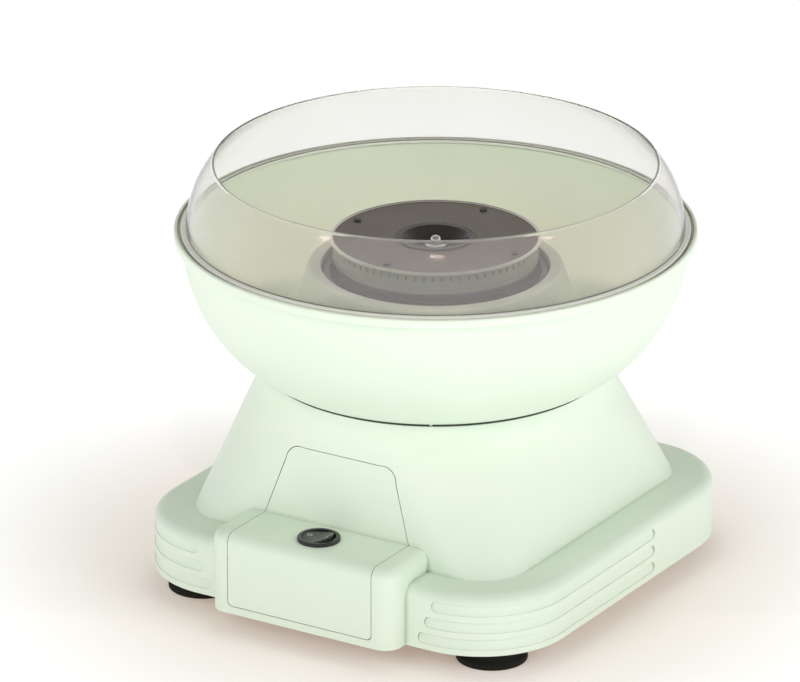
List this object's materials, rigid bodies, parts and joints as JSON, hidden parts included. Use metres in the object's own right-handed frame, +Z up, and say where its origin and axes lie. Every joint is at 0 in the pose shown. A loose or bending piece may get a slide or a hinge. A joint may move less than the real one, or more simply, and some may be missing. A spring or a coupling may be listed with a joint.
{
  "type": "cotton candy machine",
  "caption": "Tabletop cotton candy machine: mint rounded-square base with switch box and suction feet, round bowl, spinning sugar head and clear lift-off splash guard.",
  "frame": {"origin": "on the floor under the axis of the bowl and the spinning head", "axes": "+Z up along the spin axis, the switch box faces -Y"},
  "size_m": [0.29, 0.29, 0.2414],
  "materials": {
    "mint_shell": "fine satin moulding, pale mint green",
    "black_plastic": "black moulding",
    "grey_plastic": "dark grey base moulding",
    "black_rubber": "soft black rubber",
    "heatproof_plastic": "dark heatproof moulding",
    "bronze": "sintered bronze",
    "zinc_steel": "zinc-plated steel",
    "bright_steel": "polished steel",
    "dark_tray": "dark coated aluminium",
    "heater_sheath": "oxidised heating sheath",
    "ceramic": "unglazed steatite",
    "disc_aluminium": "spun grey-brown aluminium",
    "head_aluminium": "spun aluminium",
    "copper": "enamelled copper",
    "iron": "dark iron and ferrite",
    "brass": "plain brass",
    "circuit_board": "green board",
    "nylon": "natural nylon",
    "capacitor_sleeve": "dark blue sleeve",
    "lead_jacket": "silicone insulation",
    "clear_guard": "clear moulded plastic, faint warm tint"
  },
  "bodies": {
    "base": {"base_housing": "mint_shell", "pedestal_housing": "mint_shell", "front_fascia": "mint_shell", "switch_body": "black_plastic", "motor_end_cap": "black_plastic", "terminal_block": "black_plastic", "thermal_cutout": "black_plastic", "bridge_rectifier": "black_plastic", "bottom_plate": "grey_plastic", "foot_front_left": "black_rubber", "foot_front_right": "black_rubber", "foot_rear_left": "black_rubber", "foot_rear_right": "black_rubber", "cord_gland": "black_rubber", "rubber_mounts": "black_rubber", "heater_tower": "heatproof_plastic", "tower_bush": "bronze", "upper_bush": "bronze", "lower_bush": "bronze", "plate_screws": "zinc_steel", "deck_screws": "zinc_steel", "mount_screws": "zinc_steel", "motor_screws": "zinc_steel", "tray_screws": "zinc_steel", "board_screws": "zinc_steel", "motor_can": "zinc_steel", "motor_plate": "zinc_steel", "heat_shield": "zinc_steel", "heater_tray": "dark_tray", "heating_element": "heater_sheath", "ceramic_posts": "ceramic", "ceramic_bushes": "ceramic", "tray_spacers": "ceramic", "motor_magnets": "iron", "brushes": "iron", "switch_terminals": "brass", "motor_terminals": "brass", "block_screws": "brass", "rectifier_board": "circuit_board", "board_standoffs": "nylon", "filter_capacitor": "capacitor_sleeve", "switch_leads": "lead_jacket", "heater_leads": "lead_jacket", "motor_leads": "lead_jacket"},
    "rotor": {"rotor_shaft": "bright_steel", "drive_pin": "bright_steel", "armature_core": "iron", "armature_windings": "copper", "commutator": "copper", "cooling_fan": "black_plastic"},
    "head": {"head_hub": "bright_steel", "hub_nut": "bright_steel", "sugar_funnel": "black_plastic", "head_pan": "head_aluminium", "head_mesh_ring": "head_aluminium", "head_top_disc": "disc_aluminium", "head_screws": "iron"},
    "bowl_body": {"bowl": "mint_shell"},
    "guard": {"splash_guard": "clear_guard"},
    "rocker": {"rocker_cap": "black_plastic"}
  },
  "joints": [
    {"name": "rotor_spin", "type": "hinge", "parent": "base", "child": "rotor", "pos_m": [0, 0, 0.12], "axis": [0, 0, 1], "continuous": true},
    {"name": "head_lift", "type": "slide", "parent": "rotor", "child": "head", "axis": [0, 0, 1], "range_m": [0, 0.06]},
    {"name": "bowl_lift", "type": "slide", "parent": "base", "child": "bowl_body", "axis": [0, 0, 1], "range_m": [0, 0.1]},
    {"name": "guard_lift", "type": "slide", "parent": "bowl_body", "child": "guard", "axis": [0, 0, 1], "range_m": [0, 0.06]},
    {"name": "rocker_tilt", "type": "hinge", "parent": "base", "child": "rocker", "pos_m": [0, -0.122, 0.0575], "axis": [0, 1, 0], "range_deg": [0, 14]}
  ]
}
